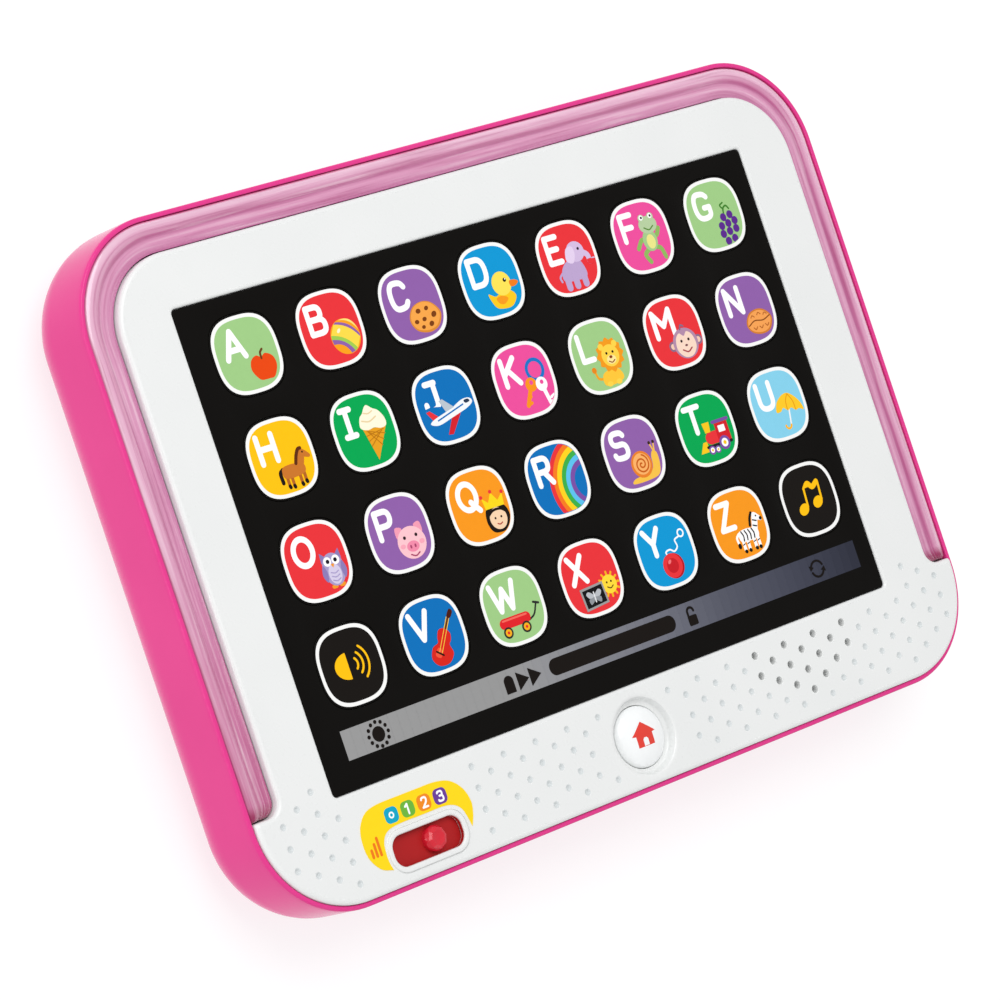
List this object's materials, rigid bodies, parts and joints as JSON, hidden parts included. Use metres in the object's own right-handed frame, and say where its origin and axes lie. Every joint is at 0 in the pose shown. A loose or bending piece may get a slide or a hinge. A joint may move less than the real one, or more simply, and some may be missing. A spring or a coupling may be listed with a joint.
{
  "type": "toy tablet",
  "caption": "Flat toddler's toy tablet: pink tub and white face with a light ring, printed picture keys, domed home button, stage slider, speaker and battery bay.",
  "frame": {"origin": "bottom centre of the bounding box, under the middle of the flat back", "axes": "+X to the right of the screen, +Y towards its top edge, +Z out of the screen"},
  "size_m": [0.2402, 0.1714, 0.031],
  "materials": {
    "shell_pink": "satin moulded ABS, solid pink",
    "bezel_white": "satin moulded ABS, cool white",
    "ring_pink": "clear tinted polycarbonate light guide",
    "film_black": "screen-printed polycarbonate overlay, semi-gloss black",
    "key_light_green": "printed semi-gloss",
    "key_red": "printed semi-gloss",
    "key_purple": "printed semi-gloss",
    "key_sky": "printed semi-gloss",
    "key_pale_sky": "printed semi-gloss",
    "key_magenta": "printed semi-gloss",
    "key_amber": "printed semi-gloss",
    "key_green": "printed semi-gloss",
    "key_blue": "printed semi-gloss",
    "key_orange": "printed semi-gloss",
    "key_black": "printed semi-gloss",
    "button_white": "high gloss",
    "slider_red": "gloss",
    "slide_plate_red": "satin",
    "label_yellow": "printed sticker",
    "membrane_grey": "printed polyester sheet with rubber domes",
    "plate_grey": "moulded, matte",
    "rubber_grey": "silicone",
    "switch_black": "matte",
    "board_green": "solder mask on glass laminate",
    "cone_black": "coated paper",
    "steel": "zinc plated",
    "led_clear": "diffused epoxy",
    "cell_jacket": "printed jacket"
  },
  "bodies": {
    "housing": {"rear_shell": "shell_pink", "front_bezel": "bezel_white", "light_ring": "ring_pink", "screen_film": "film_black", "key_membrane": "membrane_grey", "backing_plate": "plate_grey", "button_dome": "rubber_grey", "slide_switch": "switch_black", "stage_label": "label_yellow", "main_board": "board_green", "speaker_frame": "steel", "speaker_cone": "cone_black", "ring_led_left": "led_clear", "ring_led_right": "led_clear", "battery_1": "cell_jacket", "battery_2": "cell_jacket", "battery_3": "cell_jacket", "contact_negative": "steel", "contact_bridge_right": "steel", "contact_bridge_left": "steel", "contact_positive": "steel", "housing_screw_1": "steel", "housing_screw_2": "steel", "housing_screw_3": "steel", "housing_screw_4": "steel", "housing_screw_5": "steel", "housing_screw_6": "steel"},
    "key_a": {"key_a": "key_light_green"},
    "key_b": {"key_b": "key_red"},
    "key_c": {"key_c": "key_purple"},
    "key_d": {"key_d": "key_sky"},
    "key_e": {"key_e": "key_red"},
    "key_f": {"key_f": "key_magenta"},
    "key_g": {"key_g": "key_light_green"},
    "key_h": {"key_h": "key_amber"},
    "key_i": {"key_i": "key_green"},
    "key_j": {"key_j": "key_blue"},
    "key_k": {"key_k": "key_magenta"},
    "key_l": {"key_l": "key_light_green"},
    "key_m": {"key_m": "key_red"},
    "key_n": {"key_n": "key_purple"},
    "key_o": {"key_o": "key_red"},
    "key_p": {"key_p": "key_purple"},
    "key_q": {"key_q": "key_orange"},
    "key_r": {"key_r": "key_blue"},
    "key_s": {"key_s": "key_purple"},
    "key_t": {"key_t": "key_green"},
    "key_u": {"key_u": "key_pale_sky"},
    "key_sound": {"key_sound": "key_black"},
    "key_v": {"key_v": "key_blue"},
    "key_w": {"key_w": "key_light_green"},
    "key_x": {"key_x": "key_red"},
    "key_y": {"key_y": "key_sky"},
    "key_z": {"key_z": "key_orange"},
    "key_music": {"key_music": "key_black"},
    "home_button": {"home_button": "button_white"},
    "stage_slider": {"slide_plate": "slide_plate_red", "slider_knob": "slider_red"},
    "battery_door": {"battery_door": "shell_pink"},
    "battery_door_screw": {"battery_door_screw": "steel"}
  },
  "joints": [
    {"name": "press_home", "type": "slide", "parent": "housing", "child": "home_button", "axis": [0, 0, 1], "range_m": [-0.0015, 0], "stiffness_N_per_m": 1200, "springref_m": 0.0005, "deforming": ["button_dome"]},
    {"name": "stage_slide", "type": "slide", "parent": "housing", "child": "stage_slider", "axis": [1, 0, 0], "range_m": [-0.01, 0.005]},
    {"name": "battery_door_lift", "type": "slide", "parent": "housing", "child": "battery_door", "axis": [0, 0, -1], "range_m": [0, 0.03]},
    {"name": "battery_door_screw_turn", "type": "hinge", "parent": "battery_door", "child": "battery_door_screw", "pos_m": [0.0375, 0.009, 0.005], "axis": [0, 0, 1], "continuous": true},
    {"name": "press_key_a", "type": "slide", "parent": "housing", "child": "key_a", "axis": [0, 0, 1], "range_m": [-0.0005, 0], "stiffness_N_per_m": 3000, "springref_m": 0.0002},
    {"name": "press_key_b", "type": "slide", "parent": "housing", "child": "key_b", "axis": [0, 0, 1], "range_m": [-0.0005, 0], "stiffness_N_per_m": 3000, "springref_m": 0.0002},
    {"name": "press_key_c", "type": "slide", "parent": "housing", "child": "key_c", "axis": [0, 0, 1], "range_m": [-0.0005, 0], "stiffness_N_per_m": 3000, "springref_m": 0.0002},
    {"name": "press_key_d", "type": "slide", "parent": "housing", "child": "key_d", "axis": [0, 0, 1], "range_m": [-0.0005, 0], "stiffness_N_per_m": 3000, "springref_m": 0.0002},
    {"name": "press_key_e", "type": "slide", "parent": "housing", "child": "key_e", "axis": [0, 0, 1], "range_m": [-0.0005, 0], "stiffness_N_per_m": 3000, "springref_m": 0.0002},
    {"name": "press_key_f", "type": "slide", "parent": "housing", "child": "key_f", "axis": [0, 0, 1], "range_m": [-0.0005, 0], "stiffness_N_per_m": 3000, "springref_m": 0.0002},
    {"name": "press_key_g", "type": "slide", "parent": "housing", "child": "key_g", "axis": [0, 0, 1], "range_m": [-0.0005, 0], "stiffness_N_per_m": 3000, "springref_m": 0.0002},
    {"name": "press_key_h", "type": "slide", "parent": "housing", "child": "key_h", "axis": [0, 0, 1], "range_m": [-0.0005, 0], "stiffness_N_per_m": 3000, "springref_m": 0.0002},
    {"name": "press_key_i", "type": "slide", "parent": "housing", "child": "key_i", "axis": [0, 0, 1], "range_m": [-0.0005, 0], "stiffness_N_per_m": 3000, "springref_m": 0.0002},
    {"name": "press_key_j", "type": "slide", "parent": "housing", "child": "key_j", "axis": [0, 0, 1], "range_m": [-0.0005, 0], "stiffness_N_per_m": 3000, "springref_m": 0.0002},
    {"name": "press_key_k", "type": "slide", "parent": "housing", "child": "key_k", "axis": [0, 0, 1], "range_m": [-0.0005, 0], "stiffness_N_per_m": 3000, "springref_m": 0.0002},
    {"name": "press_key_l", "type": "slide", "parent": "housing", "child": "key_l", "axis": [0, 0, 1], "range_m": [-0.0005, 0], "stiffness_N_per_m": 3000, "springref_m": 0.0002},
    {"name": "press_key_m", "type": "slide", "parent": "housing", "child": "key_m", "axis": [0, 0, 1], "range_m": [-0.0005, 0], "stiffness_N_per_m": 3000, "springref_m": 0.0002},
    {"name": "press_key_n", "type": "slide", "parent": "housing", "child": "key_n", "axis": [0, 0, 1], "range_m": [-0.0005, 0], "stiffness_N_per_m": 3000, "springref_m": 0.0002},
    {"name": "press_key_o", "type": "slide", "parent": "housing", "child": "key_o", "axis": [0, 0, 1], "range_m": [-0.0005, 0], "stiffness_N_per_m": 3000, "springref_m": 0.0002},
    {"name": "press_key_p", "type": "slide", "parent": "housing", "child": "key_p", "axis": [0, 0, 1], "range_m": [-0.0005, 0], "stiffness_N_per_m": 3000, "springref_m": 0.0002},
    {"name": "press_key_q", "type": "slide", "parent": "housing", "child": "key_q", "axis": [0, 0, 1], "range_m": [-0.0005, 0], "stiffness_N_per_m": 3000, "springref_m": 0.0002},
    {"name": "press_key_r", "type": "slide", "parent": "housing", "child": "key_r", "axis": [0, 0, 1], "range_m": [-0.0005, 0], "stiffness_N_per_m": 3000, "springref_m": 0.0002},
    {"name": "press_key_s", "type": "slide", "parent": "housing", "child": "key_s", "axis": [0, 0, 1], "range_m": [-0.0005, 0], "stiffness_N_per_m": 3000, "springref_m": 0.0002},
    {"name": "press_key_t", "type": "slide", "parent": "housing", "child": "key_t", "axis": [0, 0, 1], "range_m": [-0.0005, 0], "stiffness_N_per_m": 3000, "springref_m": 0.0002},
    {"name": "press_key_u", "type": "slide", "parent": "housing", "child": "key_u", "axis": [0, 0, 1], "range_m": [-0.0005, 0], "stiffness_N_per_m": 3000, "springref_m": 0.0002},
    {"name": "press_key_sound", "type": "slide", "parent": "housing", "child": "key_sound", "axis": [0, 0, 1], "range_m": [-0.0005, 0], "stiffness_N_per_m": 3000, "springref_m": 0.0002},
    {"name": "press_key_v", "type": "slide", "parent": "housing", "child": "key_v", "axis": [0, 0, 1], "range_m": [-0.0005, 0], "stiffness_N_per_m": 3000, "springref_m": 0.0002},
    {"name": "press_key_w", "type": "slide", "parent": "housing", "child": "key_w", "axis": [0, 0, 1], "range_m": [-0.0005, 0], "stiffness_N_per_m": 3000, "springref_m": 0.0002},
    {"name": "press_key_x", "type": "slide", "parent": "housing", "child": "key_x", "axis": [0, 0, 1], "range_m": [-0.0005, 0], "stiffness_N_per_m": 3000, "springref_m": 0.0002},
    {"name": "press_key_y", "type": "slide", "parent": "housing", "child": "key_y", "axis": [0, 0, 1], "range_m": [-0.0005, 0], "stiffness_N_per_m": 3000, "springref_m": 0.0002},
    {"name": "press_key_z", "type": "slide", "parent": "housing", "child": "key_z", "axis": [0, 0, 1], "range_m": [-0.0005, 0], "stiffness_N_per_m": 3000, "springref_m": 0.0002},
    {"name": "press_key_music", "type": "slide", "parent": "housing", "child": "key_music", "axis": [0, 0, 1], "range_m": [-0.0005, 0], "stiffness_N_per_m": 3000, "springref_m": 0.0002}
  ]
}
